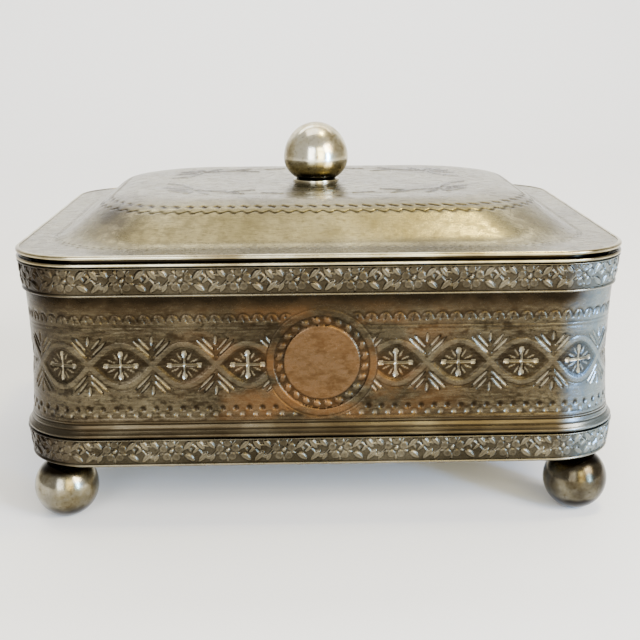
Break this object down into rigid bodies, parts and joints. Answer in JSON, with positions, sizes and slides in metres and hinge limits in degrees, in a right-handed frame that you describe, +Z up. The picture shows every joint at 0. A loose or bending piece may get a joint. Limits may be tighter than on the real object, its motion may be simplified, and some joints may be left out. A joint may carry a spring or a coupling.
{
  "type": "biscuit box",
  "caption": "Rectangular silver-plated biscuit box with rolled flower borders, engraved walls, ball feet and a hinged cushion-shaped lid with an oval knob.",
  "frame": {"origin": "on the surface that the feet rest on, under the middle of the whole, which is 2.6 mm behind the middle of the box because the hinge stands out at the back", "axes": "+X to the box's right seen from the front, +Y to the back where the hinge is, +Z up"},
  "size_m": [0.2, 0.1652, 0.1258],
  "materials": {
    "wall_silver": "electroplated silver, engraved, tarnished to a warm brown",
    "border_silver": "die-rolled silver plate, dark in the recesses",
    "bright_silver": "polished silver plate",
    "lid_silver": "raised silver plate, hand rubbed, fine scratches",
    "hinge_metal": "nickel silver, worn",
    "fixing_brass": "turned brass, dull"
  },
  "bodies": {
    "body": {"side_wall": "wall_silver", "base_plate": "wall_silver", "upper_border": "border_silver", "lower_border": "border_silver", "base_moulding": "border_silver", "mouth_rim": "bright_silver", "foot_front_left": "bright_silver", "foot_front_right": "bright_silver", "foot_back_left": "bright_silver", "foot_back_right": "bright_silver", "foot_studs": "fixing_brass", "foot_nuts": "fixing_brass", "body_hinge": "hinge_metal", "hinge_pin": "hinge_metal"},
    "lid": {"lid_shell": "lid_silver", "lid_edge_wire": "bright_silver", "lid_bezel": "lid_silver", "lid_hinge": "hinge_metal", "knob_ball": "bright_silver", "knob_collar": "bright_silver", "knob_stud": "fixing_brass", "knob_washer": "fixing_brass", "knob_nut": "fixing_brass"}
  },
  "joints": [
    {"name": "lid_hinge", "type": "hinge", "parent": "body", "child": "lid", "pos_m": [0, 0.0806, 0.08944], "axis": [-1, 0, 0], "range_deg": [0, 100]}
  ]
}
